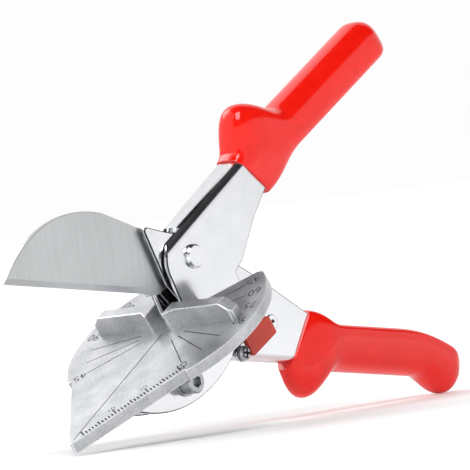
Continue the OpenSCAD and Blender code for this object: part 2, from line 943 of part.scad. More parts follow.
module latch_lever() {
    color("gainsboro")
        on_latch()
            translate([0, 0, -latch_t])
                difference() {
                    linear_extrude(latch_t)
                        polygon(rounded([
                            [-latch_end_r, -latch_end_r, latch_end_r * 0.97],
                            [latch_reach, -latch_w / 2, latch_w * 0.48],
                            [latch_reach, latch_w / 2, latch_w * 0.48],
                            [-latch_end_r, latch_end_r, latch_end_r * 0.97]
                        ]));
                    translate([0, 0, -overcut])
                        cylinder(d = latch_bush_d + 2 * pivot_clearance, h = latch_t + 2 * overcut);
                    translate([latch_reach - latch_w / 2, 0, -overcut])
                        cylinder(d = latch_w * 0.4, h = latch_t + 2 * overcut);
                }
}

sleeve_fit = 0.02;
sleeve_start = latch_head_d / 2 + 0.6;
sleeve_end = latch_reach - latch_w * 0.75;

module latch_sleeve() {
    w = latch_w / 2 + sleeve_t;
    from = sleeve_start - overcut;
    to = sleeve_end + overcut;
    color("firebrick")
        on_latch()
            translate([0, 0, -latch_t - sleeve_t])
                difference() {
                    linear_extrude(latch_t + 2 * sleeve_t)
                        polygon(rounded([
                            [sleeve_start, -w, 1],
                            [sleeve_end, -w, 1],
                            [sleeve_end, w, 1],
                            [sleeve_start, w, 1]
                        ]));
                    translate([0, 0, sleeve_t])
                        linear_extrude(latch_t)
                            polygon([
                                [from, -latch_half(from) - sleeve_fit],
                                [to, -latch_half(to) - sleeve_fit],
                                [to, latch_half(to) + sleeve_fit],
                                [from, latch_half(from) + sleeve_fit]
                            ]);
                }
}

// Height of the bush's end above the latch
bush_proud = 0.1;

module latch_bush() {
    h = -latch_z - lower_outer / 2 + latch_t + bush_proud;
    color("silver")
        on_blade_lever()
            translate([latch_x, latch_y, -lower_outer / 2 - h])
                ring(latch_bush_d, latch_screw_d, h);
}

module latch_screw() {
    seat = -latch_z + latch_t + bush_proud;
    shank = seat + lower_outer / 2 + latch_nut_h;
    r = latch_head_d / 2;
    slot_w = 0.8;
    slot_l = latch_head_d * 0.62;
    color("silver")
        on_blade_lever()
            translate([latch_x, latch_y, -seat])
                difference() {
                    rotate_extrude()
                        polygon([
                            [0, -latch_head_h], [r * 0.6, -latch_head_h], [r, -latch_head_h * 0.45], [r, 0],
                            [latch_screw_d / 2, 0], [latch_screw_d / 2, shank], [0, shank]
                        ]);
                    for (a = [0, 90])
                        rotate([0, 0, a])
                            translate([-slot_l / 2, -slot_w / 2, -latch_head_h - overcut])
                                cube([slot_l, slot_w, overcut + latch_head_h * 0.6]);
                }
}

module latch_nut() {
    color("silver")
        on_blade_lever()
            translate([latch_x, latch_y, lower_outer / 2])
                difference() {
                    hex_prism(latch_nut_across, latch_nut_h);
                    translate([0, 0, -overcut])
                        cylinder(d = latch_screw_d, h = latch_nut_h + 2 * overcut);
                }
}

upper_channel();
upper_grip();
anvil();
anvil_screw();
anvil_washers();
anvil_nut();
pivot_rivet();
pivot_washers();
lower_channel();
lower_grip();
blade();
near_packing_plate();
far_packing_plate();
blade_rivets();
spring_pin();
opening_spring();
latch_lever();
latch_sleeve();
latch_screw();
latch_bush();
latch_nut();
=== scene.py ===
"""Mitre shears, open and standing on the anvil's tip and the lower grip.

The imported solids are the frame. Each solid that shows is copied, its corners are broken as on the real tool, and the
copy stands in its place with a finish of its own. The numbers on the anvil and the spring's wire are made here. Solids
that the tool hides stay as they are and get a finish.
"""

import logging
import math
from dataclasses import dataclass, field
from enum import Enum
from typing import Callable, Optional, Sequence

import bpy
from mathutils import Matrix, Vector


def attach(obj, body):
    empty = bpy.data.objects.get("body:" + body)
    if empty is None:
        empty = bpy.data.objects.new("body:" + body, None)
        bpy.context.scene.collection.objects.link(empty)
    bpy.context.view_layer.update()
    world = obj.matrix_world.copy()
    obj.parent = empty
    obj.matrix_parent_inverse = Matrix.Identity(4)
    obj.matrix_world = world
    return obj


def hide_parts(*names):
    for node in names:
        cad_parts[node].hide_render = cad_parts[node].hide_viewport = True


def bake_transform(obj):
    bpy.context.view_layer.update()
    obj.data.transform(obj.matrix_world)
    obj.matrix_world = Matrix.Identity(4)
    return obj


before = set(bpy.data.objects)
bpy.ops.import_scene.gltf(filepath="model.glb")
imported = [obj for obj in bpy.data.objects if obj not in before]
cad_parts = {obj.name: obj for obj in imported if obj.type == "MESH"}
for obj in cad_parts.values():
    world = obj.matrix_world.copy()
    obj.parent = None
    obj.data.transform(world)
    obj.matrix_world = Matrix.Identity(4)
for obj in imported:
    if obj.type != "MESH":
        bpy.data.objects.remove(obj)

LOG = logging.getLogger("mitre_shears")
MM = 0.001
MERGE = 2e-6

# The range that the sum of two noises mostly keeps to.
NOISE_LOW, NOISE_HIGH = 0.7, 1.3
# Angles in degrees: faces that count as coplanar, triangles that pair up, and corners that count as sharp.
COPLANAR, QUAD_FACE, QUAD_SHAPE = 0.3, 50, 60
SHEET_CORNER, CASTING_CORNER, SKIN_CORNER, TURNED_CORNER = 38, 30, 40, 50
# How nearly a face looks along a direction to count as facing it.
FLAT_FACING, CAP_FACING = 0.95, 0.6
# The widest rim, in mm, that is taken for a hole's and left sharp.
HOLE_REACH = 12.0
# How much a large face outweighs its neighbours where their normals are averaged.
FLAT_WEIGHT = 100


class Body(Enum):
    """The parts of the tool that move on their own."""

    ANVIL = "anvil_lever"
    BLADE = "blade_lever"
    LATCH = "latch"


class Side(Enum):
    """The side of the anvil that faces the camera, and the other one."""

    NEAR = 1
    FAR = -1


# Materials


def linear(code: str) -> tuple[float, float, float, float]:
    """Turns an sRGB hex colour to linear.

    Args:
        code: Six hex digits after a number sign.

    Returns:
        Red, green, blue and an alpha of one.
    """
    parts = [int(code[i:i + 2], 16) / 255 for i in (1, 3, 5)]
    r, g, b = [c / 12.92 if c <= 0.04045 else ((c + 0.055) / 1.055) ** 2.4 for c in parts]
    return r, g, b, 1.0


def add_node(tree: bpy.types.NodeTree, kind: str, inputs: Optional[dict] = None, **settings: object) -> bpy.types.Node:
    """Adds a node with its settings and links.

    Args:
        tree: The node tree that gets it.
        kind: Its type name.
        inputs: Values, or sockets to link, by the input's name or number.
        settings: The node's own settings.

    Returns:
        The new node.
    """
    node = tree.nodes.new(kind)
    for name, value in settings.items():
        setattr(node, name, value)
    for name, value in (inputs or {}).items():
        if isinstance(value, bpy.types.NodeSocket):
            tree.links.new(value, node.inputs[name])
        else:
            node.inputs[name].default_value = value
    return node


@dataclass(frozen=True)
class Finish:
    """A real material and how its surface was made.

    Sizes are in mm. The grain drives colour, roughness and relief, and the cloud is a slow change over the piece.
    """

    name: str
    slot: str
    dark: str
    light: str
    metallic: float
    roughness: tuple[float, float]
    grain: float
    relief: float
    cloud: float = 14.0
    stretch: tuple[float, float, float] = (1.0, 1.0, 1.0)
    turn: tuple[float, float, float] = (0.0, 0.0, 0.0)
    detail: float = 4.0
    coat: float = 0.0
    coat_roughness: float = 0.05
    anisotropic: float = 0.0
    specular: float = 0.5

    def material(self) -> bpy.types.Material:
        """Makes the material, or finds it if it is made already.

        Returns:
            A material whose grain is laid out in the object's own coordinates.
        """
        made = bpy.data.materials.get(self.name)
        if made:
            return made
        made = bpy.data.materials.new(self.name)
        made.use_nodes = True
        tree = made.node_tree
        tree.nodes.clear()
        place = add_node(tree, "ShaderNodeTexCoord").outputs["Object"]
        turned = add_node(tree, "ShaderNodeMapping", {
            "Vector": place, "Rotation": [math.radians(a) for a in self.turn], "Scale": self.stretch})
        grain = add_node(tree, "ShaderNodeTexNoise", {
            "Vector": turned.outputs[0], "Scale": 1 / (self.grain * MM), "Detail": self.detail, "Roughness": 0.6})
        cloud = add_node(tree, "ShaderNodeTexNoise", {
            "Vector": place, "Scale": 1 / (self.cloud * MM), "Detail": 2.0, "Roughness": 0.5})
        both = add_node(tree, "ShaderNodeMath", {0: grain.outputs[0], 1: cloud.outputs[0]}, operation="ADD")
        shade = add_node(tree, "ShaderNodeMapRange", {
            "Value": both.outputs[0], "From Min": NOISE_LOW, "From Max": NOISE_HIGH})
        colour = add_node(tree, "ShaderNodeValToRGB", {"Fac": shade.outputs[0]})
        colour.color_ramp.elements[0].color = linear(self.dark)
        colour.color_ramp.elements[1].color = linear(self.light)
        rough = add_node(tree, "ShaderNodeMapRange", {
            "Value": both.outputs[0], "From Min": NOISE_LOW, "From Max": NOISE_HIGH,
            "To Min": self.roughness[0], "To Max": self.roughness[1]})
        relief = add_node(tree, "ShaderNodeBump", {
            "Height": grain.outputs[0], "Distance": self.relief * MM, "Strength": 1.0})
        shader = add_node(tree, "ShaderNodeBsdfPrincipled", {
            "Base Color": colour.outputs[0], "Roughness": rough.outputs[0], "Normal": relief.outputs[0],
            "Metallic": self.metallic, "Coat Weight": self.coat, "Coat Roughness": self.coat_roughness,
            "Anisotropic": self.anisotropic, "Specular IOR Level": self.specular})
        add_node(tree, "ShaderNodeOutputMaterial", {"Surface": shader.outputs[0]})
        return made


# Bright nickel and chrome on polished sheet: a near mirror, with faint clouds from polishing.
CHROME = Finish("Bright chrome plate on steel", "chrome", "#DDDEE1", "#E6E7E9", 1.0, (0.14, 0.2), 6.0, 0.001,
                cloud=22.0)
# The sheared edge of that sheet, painted near black: a painted dark reflection, drawn as a dark line round each cheek.
PAINTED_EDGE_REFLECTION = Finish("Chrome edge painted as a dark reflection", "chrome", "#1E2024", "#4A4C52", 1.0, (0.2, 0.35), 0.8, 0.004)
# Soft PVC that the hot handle was dipped in: full red, a wet gloss and the slight waves of a drained coat.
DIPPED_PVC = Finish("Dipped glossy PVC", "red_grip", "#E41407", "#F01B0D", 0.0, (0.28, 0.36), 5.0, 0.015,
                    cloud=30.0, detail=2.0, coat=0.75, coat_roughness=0.03, specular=0.08)
# Die-cast aluminium, tumbled: light grey with a fine dull grain. The grain is drawn coarser than it is, to show.
CAST_ALUMINIUM = Finish("Die-cast aluminium", "cast_anvil", "#A4A6AA", "#CDCED1", 0.7, (0.3, 0.44), 0.9, 0.03,
                        cloud=9.0)
# Edges of that casting, painted pale: a painted highlight along the fences, the rim and the ruler edges.
PAINTED_EDGE_HIGHLIGHT = Finish("Painted highlight on cast aluminium edges", "cast_anvil", "#C6C7CA", "#E6E7E9", 0.7, (0.24, 0.36), 0.9, 0.01)
# Painted shade in the cast lines, the digits and the screw's cross recess: dull and nearly black, and uneven.
PAINTED_GROOVE_SHADE = Finish("Painted shade in cast lines", "cast_anvil", "#1F2023", "#3D3E43", 0.0, (0.55, 0.8), 0.6, 0.02)
# Tool steel ground across its width: satin grey with slanted streaks, drawn wider than the grit leaves them.
GROUND_STEEL = Finish("Ground tool steel", "blade_steel", "#B4B6B7", "#C4C6C7", 1.0, (0.3, 0.4), 0.7, 0.0012,
                      cloud=26.0, stretch=(1.0, 1.0, 0.03), turn=(0.0, 24.0, 0.0), detail=4.0, anisotropic=0.3)
# Zinc-plated screw steel: a greyish half gloss with small tool marks.
ZINC_STEEL = Finish("Zinc-plated steel", "screw_steel", "#8E9094", "#C4C6C9", 1.0, (0.2, 0.36), 0.8, 0.01)
# A sleeve of dull PVC that has been handled: brick red with no coat.
SLEEVE_PVC = Finish("Dull sleeve PVC", "latch_sleeve", "#B23428", "#C84334", 0.0, (0.48, 0.62), 1.2, 0.02)
# Drawn and oiled spring wire: dark grey with lines along its length.
SPRING_WIRE = Finish("Oiled spring wire", "spring_steel", "#3A3B3E", "#5E6064", 1.0, (0.25, 0.4), 0.5, 0.004)
# Rolled brass shim: warm yellow, half dull from rubbing.
ROLLED_BRASS = Finish("Rolled brass", "brass", "#B08A3C", "#CBA550", 1.0, (0.25, 0.4), 0.7, 0.006)


# Handling of pieces


def choose(*pieces: bpy.types.Object) -> None:
    """Selects these pieces alone and makes the first one active."""
    if bpy.context.object and bpy.context.object.mode != "OBJECT":
        bpy.ops.object.mode_set(mode="OBJECT")
    bpy.ops.object.select_all(action="DESELECT")
    for piece in pieces:
        piece.select_set(True)
    bpy.context.view_layer.objects.active = pieces[0]


def in_edit_mode(piece: bpy.types.Object, work: Callable[[], None], everything: bool = True) -> None:
    """Runs operators on one piece in edit mode.

    Args:
        piece: The piece to work on.
        work: What to do there.
        everything: Whether the whole mesh is selected first.
    """
    choose(piece)
    bpy.ops.object.mode_set(mode="EDIT")
    if everything:
        bpy.ops.mesh.select_all(action="SELECT")
    work()
    bpy.ops.object.mode_set(mode="OBJECT")


def copy_of(node: str, name: str, flat: bool = True) -> bpy.types.Object:
    """Copies a CAD node and merges its loose triangles to clean faces.

    Args:
        node: The node's name.
        name: The copy's name.
        flat: Whether coplanar triangles become one face. Otherwise pairs of them become quads.

    Returns:
        The copy, with its own mesh.
    """
    piece = bpy.data.objects.new(name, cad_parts[node].data.copy())
    bpy.context.scene.collection.objects.link(piece)
    choose(piece)
    if piece.data.has_custom_normals:
        bpy.ops.mesh.customdata_custom_splitnormals_clear()

    def merge() -> None:
        """Joins the corners and the faces that lie in one plane."""
        bpy.ops.mesh.remove_doubles(threshold=MERGE)
        if flat:
            bpy.ops.mesh.dissolve_limited(angle_limit=math.radians(COPLANAR))
        else:
            bpy.ops.mesh.tris_convert_to_quads(
                face_threshold=math.radians(QUAD_FACE), shape_threshold=math.radians(QUAD_SHAPE))

    in_edit_mode(piece, merge)
    return piece


def sharp_pairs(piece: bpy.types.Object, degrees: float) -> dict[int, list[bpy.types.MeshPolygon]]:
    """Finds the edges where two faces meet at more than an angle.

    Args:
        piece: The piece to look at.
        degrees: The least angle between the faces' normals.

    Returns:
        The two faces by the edge's number.
    """
    mesh = piece.data
    faces: dict[tuple[int, int], list[bpy.types.MeshPolygon]] = {}
    for face in mesh.polygons:
        for key in face.edge_keys:
            faces.setdefault(key, []).append(face)
    least = math.cos(math.radians(degrees))
    found = {}
    for edge in mesh.edges:
        pair = faces.get(edge.key, [])
        if len(pair) == 2 and pair[0].normal.dot(pair[1].normal) < least:
            found[edge.index] = pair
    return found


def sharp_edges(piece: bpy.types.Object, degrees: float) -> list[int]:
    """Lists the edges where two faces meet at more than an angle."""
    return list(sharp_pairs(piece, degrees))


def hole_rims(piece: bpy.types.Object, edges: Sequence[int]) -> set[int]:
    """Finds the small chains among these edges, which go round holes.

    Args:
        piece: The piece that has the edges.
        edges: The numbers of the edges to sort into chains.

    Returns:
        The numbers of the vertices on chains that reach less than HOLE_REACH along every axis.
    """
    mesh = piece.data
    chains: dict[int, set[int]] = {}
    for index in edges:
        joined = set().union(*(chains.get(v, {v}) for v in mesh.edges[index].vertices))
        chains.update((v, joined) for v in joined)
    rims: set[int] = set()
    for chain in {id(chain): chain for chain in chains.values()}.values():
        spots = [mesh.vertices[v].co for v in chain]
        if all(max(s[i] for s in spots) - min(s[i] for s in spots) < HOLE_REACH * MM for i in range(3)):
            rims |= chain
    return rims


def outer_edges(piece: bpy.types.Object, degrees: float, width: float,
                flats: Optional[Vector] = None) -> list[int]:
    """Lists the sharp edges that stand proud and have room for a bevel.

    Args:
        piece: The piece to look at.
        degrees: The least angle of a sharp edge.
        width: The bevel's width in mm.
        flats: The direction of the sheet's flat faces, where only their edges are wanted.

    Returns:
        The edges' numbers, without the rims of holes and those that end at an edge too short for the bevel.
    """
    mesh = piece.data
    pairs = sharp_pairs(piece, degrees)
    proud = set()
    for index, (one, other) in pairs.items():
        first, second = mesh.edges[index].vertices
        order = list(other.vertices)
        along = mesh.vertices[second].co - mesh.vertices[first].co
        if order[(order.index(first) + 1) % len(order)] != second:
            along = -along
        wanted = flats is None or any(abs(face.normal.dot(flats)) > FLAT_FACING for face in (one, other))
        if wanted and other.normal.cross(along).dot(one.normal) < 0:
            proud.add(index)
    tight = set()
    for edge in mesh.edges:
        first, second = (mesh.vertices[v].co for v in edge.vertices)
        if edge.index not in proud and (first - second).length < 2 * width * MM:
            tight.update(edge.vertices)
    roomy = [index for index in sorted(proud) if not tight.intersection(mesh.edges[index].vertices)]
    rims = hole_rims(piece, roomy)
    return [index for index in roomy if not rims.intersection(mesh.edges[index].vertices)]


def mark_edges(piece: bpy.types.Object, attribute: str, edges: Sequence[int]) -> None:
    """Sets an edge attribute to one on these edges and to nought on the others."""
    layer = piece.data.attributes.get(attribute) or piece.data.attributes.new(attribute, "FLOAT", "EDGE")
    values = [0.0] * len(piece.data.edges)
    for index in edges:
        values[index] = 1.0
    layer.data.foreach_set("value", values)


def break_corners(piece: bpy.types.Object, width: float, segments: int = 2, edges: Optional[Sequence[int]] = None,
                  degrees: float = SHEET_CORNER, edge_slot: int = -1, clamp: bool = True) -> None:
    """Breaks a piece's corners with a bevel that is then applied.

    Args:
        piece: The piece to work on.
        width: The bevel's width in mm.
        segments: The number of facets in it.
        edges: The edges to break, or none for all that are sharp.
        degrees: The least angle of a sharp edge.
        edge_slot: The material slot of the broken corners, or -1 for that of the faces beside them.
        clamp: Whether the whole bevel is narrowed to what its tightest spot has room for.
    """
    mark_edges(piece, "bevel_weight_edge", sharp_edges(piece, degrees) if edges is None else edges)
    bevel = piece.modifiers.new("Broken corners", "BEVEL")
    bevel.limit_method = "WEIGHT"
    bevel.width = width * MM
    bevel.segments = segments
    bevel.use_clamp_overlap = clamp
    bevel.material = edge_slot
    choose(piece)
    bpy.ops.object.modifier_apply(modifier=bevel.name)


def smooth(piece: bpy.types.Object, degrees: float = 32, keep_flats: bool = True) -> None:
    """Shades a piece smoothly, apart from corners sharper than an angle.

    Args:
        piece: The piece to shade.
        degrees: The least angle of a corner that stays.
        keep_flats: Whether the large faces are shaded flat, with only the broken corners turning between them.
    """
    choose(piece)
    bpy.ops.object.shade_smooth_by_angle(angle=math.radians(degrees))
    if keep_flats:
        flats = piece.modifiers.new("Flat faces", "WEIGHTED_NORMAL")
        flats.keep_sharp = True
        flats.weight = FLAT_WEIGHT
        bpy.ops.object.modifier_apply(modifier=flats.name)


def sheet_piece(node: str, name: str, corner: float) -> bpy.types.Object:
    """Copies a piece of chromed sheet, breaks its sheared edges and paints a dark reflection on them.

    Args:
        node: The node's name.
        name: The copy's name.
        corner: The width of the broken edge in mm.

    Returns:
        The piece, with chrome in its first slot and the edges' painted dark reflection in its second.
    """
    piece = copy_of(node, name)
    piece.data.materials.clear()
    piece.data.materials.append(CHROME.material())
    piece.data.materials.append(PAINTED_EDGE_REFLECTION.material())
    # The broken edges get the second slot, painted near black as a dark reflection.
    painted_dark_edges = outer_edges(piece, SHEET_CORNER, corner, Vector((0, 1, 0)))
    break_corners(piece, corner, 2, painted_dark_edges, edge_slot=1, clamp=False)
    smooth(piece)
    return piece


def hand_over(piece: bpy.types.Object, finish: Finish, body: Body, *nodes: str) -> bpy.types.Object:
    """Gives a piece its finish and its body, and hides the nodes that it stands for.

    Args:
        piece: The finished piece.
        finish: What it is made of.
        body: What it moves with.
        nodes: The CAD nodes that it replaces.

    Returns:
        The same piece.
    """
    if not piece.data.materials or piece.data.materials[0] != finish.material():
        piece.data.materials.clear()
        piece.data.materials.append(finish.material())
    if nodes:
        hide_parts(*nodes)
    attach(piece, body.value)
    LOG.info("%s: %d faces, %s", piece.name, len(piece.data.polygons), finish.name)
    return piece


def paint(node: str, finish: Finish) -> None:
    """Gives a CAD node that stays as it is a finish."""
    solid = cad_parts[node]
    if solid.material_slots:
        for place in solid.material_slots:
            place.material = finish.material()
    else:
        solid.data.materials.append(finish.material())
    LOG.info("%s: solid kept, %s", node, finish.name)


@dataclass(frozen=True)
class LeverPlane:
    """The middle plane of a lever, with x forward, y up and z away from the camera, in mm from the pivot."""

    tilt: float
    pivot: tuple[float, float] = (-24.1948, 65.0084)

    def matrix(self) -> Matrix:
        """The plane's axes and origin in the row frame, in metres."""
        c, s = math.cos(math.radians(self.tilt)), math.sin(math.radians(self.tilt))
        return Matrix((
            (-c, -s, 0, self.pivot[0] * MM), (0, 0, 1, 0), (-s, c, 0, self.pivot[1] * MM), (0, 0, 0, 1)))

    def point(self, x: float, y: float, z: float = 0.0) -> Vector:
        """A point of the plane in the row frame, in metres."""
        return self.matrix() @ (Vector((x, y, z)) * MM)


ANVIL_PLANE = LeverPlane(31.2503)
BLADE_PLANE = LeverPlane(-8.24966)


def dipped_grip(node: str, name: str, lip: float, plane: LeverPlane, mouth: float) -> bpy.types.Object:
    """Rounds a grip's skin and the lip at its mouth.

    Args:
        node: The grip's node.
        name: The piece's name.
        lip: The lip's radius in mm.
        plane: The lever that the grip sits on.
        mouth: How far behind the pivot the mouth's edge ends, in mm.

    Returns:
        The grip.
    """
    grip = copy_of(node, name, flat=False)
    back = plane.matrix().inverted()
    turn = back.to_3x3()
    end = [p for p in (back @ v.co / MM for v in grip.data.vertices) if p.x > -mouth]
    middle = (max(p.y for p in end) + min(p.y for p in end)) / 2
    rim = []
    for index, pair in sharp_pairs(grip, SKIN_CORNER).items():
        spots = [back @ grip.data.vertices[v].co / MM for v in grip.data.edges[index].vertices]
        cap, skin = sorted((turn @ face.normal for face in pair), key=lambda way: -way.x)
        outwards = Vector((0, spots[0].y - middle, spots[0].z))
        if min(p.x for p in spots) > -mouth and cap.x > CAP_FACING and skin.dot(outwards) > 0:
            rim.append(index)
    break_corners(grip, lip, 2, rim)
    mark_edges(grip, "crease_edge", sharp_edges(grip, SKIN_CORNER))
    rounder = grip.modifiers.new("Drained skin", "SUBSURF")
    rounder.levels = rounder.render_levels = 1
    choose(grip)
    bpy.ops.object.modifier_apply(modifier=rounder.name)
    smooth(grip, 45, keep_flats=False)
    return grip


# The anvil lever


@dataclass
class AnvilLever:
    """The upper channel with its grip, the protractor anvil and their fasteners. Sizes are in mm."""

    corner: float = 0.4
    casting_corner: float = 0.4
    lip: float = 0.3
    mouth_end: float = 58.0
    face_y: float = -14.5
    centre_x: float = 24.0
    rim_r: float = 41.0
    tip_reach: float = 70.0
    edge_r: float = 39.0
    groove_depth: float = 0.25
    groove_slack: float = 0.02
    groove_least: float = 0.05
    label_h: float = 4.3
    label_inset: float = 4.9
    thinner: float = 0.035
    ruler_h: float = 2.7
    ruler_start: float = 7.0
    ruler_step: float = 1.4
    ruler_inset: float = 6.2
    ink_t: float = 0.06
    em_of_digit: float = 1.35
    angles: tuple[int, ...] = (45, 90, 105, 120, 135)
    lengths: tuple[int, ...] = (10, 20)
    screw_corner: float = 0.25
    washer_corner: float = 0.12
    rivet_corner: float = 0.45

    def build(self) -> None:
        """Builds the lever's pieces."""
        self.channel()
        self.grip()
        self.casting()
        self.numbers()
        self.fasteners()

    def channel(self) -> None:
        """The chromed channel, with the sheet's corners broken."""
        channel = sheet_piece("upper_channel", "anvil_lever_channel", self.corner)
        hand_over(channel, CHROME, Body.ANVIL, "upper_channel")

    def grip(self) -> None:
        """The dipped grip."""
        grip = dipped_grip("upper_grip", "anvil_lever_grip", self.lip, ANVIL_PLANE, self.mouth_end)
        hand_over(grip, DIPPED_PVC, Body.ANVIL, "upper_grip")

    def casting(self) -> None:
        """The anvil: round corners on the casting with a painted highlight on them, crisp cast lines with painted shade
        in them.
        """
        anvil = copy_of("anvil", "protractor_anvil")
        anvil.data.materials.clear()
        anvil.data.materials.append(CAST_ALUMINIUM.material())
        anvil.data.materials.append(PAINTED_GROOVE_SHADE.material())
        anvil.data.materials.append(PAINTED_EDGE_HIGHLIGHT.material())
        back = ANVIL_PLANE.matrix().inverted()
        heights = [(back @ v.co).y / MM - self.face_y for v in anvil.data.vertices]
        lined = set()
        # Faces sunk into the face by a groove's depth get painted shade.
        for face in anvil.data.polygons:
            levels = [heights[v] for v in face.vertices]
            deep = -self.groove_depth - self.groove_slack < min(levels) < -self.groove_least
            if deep and max(levels) < self.groove_slack:
                face.material_index = 1
                lined.update(face.vertices)
        # The broken corners get the third slot, a painted highlight along the outline.
        outline = [e for e in outer_edges(anvil, CASTING_CORNER, self.casting_corner)
                   if not lined.intersection(anvil.data.edges[e].vertices)]
        break_corners(anvil, self.casting_corner, 2, outline, edge_slot=2, clamp=False)
        smooth(anvil)
        hand_over(anvil, CAST_ALUMINIUM, Body.ANVIL, "anvil")

    def face_matrix(self, radius: float, degrees: float, lean: float) -> Matrix:
        """Where a number lies on the anvil's face.

        Args:
            radius: Its distance from the protractor's centre, in mm.
            degrees: Its direction from the forward line, positive to the near side.
            lean: The direction of its top on the face, from the forward line.

        Returns:
            A matrix that lays flat text there.
        """
        a, up = math.radians(degrees), math.radians(lean)
        spot = ANVIL_PLANE.point(
            self.centre_x + radius * math.cos(a), self.face_y - self.ink_t / 4, -radius * math.sin(a))
        turn = ANVIL_PLANE.matrix().to_3x3()
        normal = turn @ Vector((0, 1, 0))
        top = turn @ Vector((math.cos(up), 0, -math.sin(up)))
        across = top.cross(normal)
        rows = [[across[i], top[i], normal[i], spot[i]] for i in range(3)]
        return Matrix(rows + [[0, 0, 0, 1]])

    def number(self, words: str, height: float, place: Matrix) -> bpy.types.Object:
        """Makes one number as a thin mesh on the face.

        Args:
            words: The digits.
            height: Their height in mm.
            place: Where they lie.

        Returns:
            The number, with its place in its mesh.
        """
        bpy.ops.object.select_all(action="DESELECT")
        bpy.ops.object.text_add()
        text = bpy.context.object
        text.data.body = words
        text.data.align_x = "CENTER"
        text.data.align_y = "CENTER"
        text.data.size = height * self.em_of_digit * MM
        text.data.extrude = self.ink_t / 2 * MM
        text.data.offset = -self.thinner * MM
        text.data.resolution_u = 3
        choose(text)
        bpy.ops.object.convert(target="MESH")
        text = bpy.context.object
        text.matrix_world = place
        bpy.ops.object.transform_apply(location=True, rotation=True, scale=True)
        return text

    def numbers(self) -> None:
        """The angles round the rim and the lengths along the near ruler edge, in one dark piece: painted shade that
        stands for engraved digits.
        """
        made = []
        for side in Side:
            for degrees in self.angles:
                label = str(90 - abs(90 - degrees))
                way = side.value * degrees
                lean = side.value * (degrees - 90)
                made.append(self.number(label, self.label_h, self.face_matrix(
                    self.rim_r - self.label_inset, way, lean)))
        half_tip = math.asin(self.edge_r / self.tip_reach)
        for count in self.lengths:
            along = self.ruler_start + count * self.ruler_step
            u = self.tip_reach - along * math.cos(half_tip) - self.ruler_inset * math.sin(half_tip)
            v = along * math.sin(half_tip) - self.ruler_inset * math.cos(half_tip)
            way = math.degrees(math.atan2(v, u))
            lean = 270 - math.degrees(half_tip)
            made.append(self.number(str(count), self.ruler_h, self.face_matrix(math.hypot(u, v), way, lean)))
        choose(*made)
        bpy.ops.object.join()
        numbers = bpy.context.object
        numbers.name = "anvil_numbers"
        in_edit_mode(numbers, lambda: bpy.ops.mesh.remove_doubles(threshold=MERGE))
        hand_over(numbers, PAINTED_GROOVE_SHADE, Body.ANVIL)

    def fasteners(self) -> None:
        """The cap screw, its washers and nut, and the pivot rivet with its brass washers."""
        for node, name, width in (
                ("anvil_screw", "anvil_cap_screw", self.screw_corner),
                ("anvil_washers", "cap_screw_washers", self.washer_corner),
                ("anvil_nut", "cap_screw_nut", self.screw_corner)):
            piece = copy_of(node, name)
            break_corners(piece, width, 2, degrees=TURNED_CORNER)
            smooth(piece)
            hand_over(piece, ZINC_STEEL, Body.ANVIL, node)
        rivet = copy_of("pivot_rivet", "pivot_rivet_heads")
        break_corners(rivet, self.rivet_corner, 3, degrees=TURNED_CORNER)
        smooth(rivet)
        hand_over(rivet, CHROME, Body.ANVIL, "pivot_rivet")
        paint("pivot_washers", ROLLED_BRASS)


# The blade lever


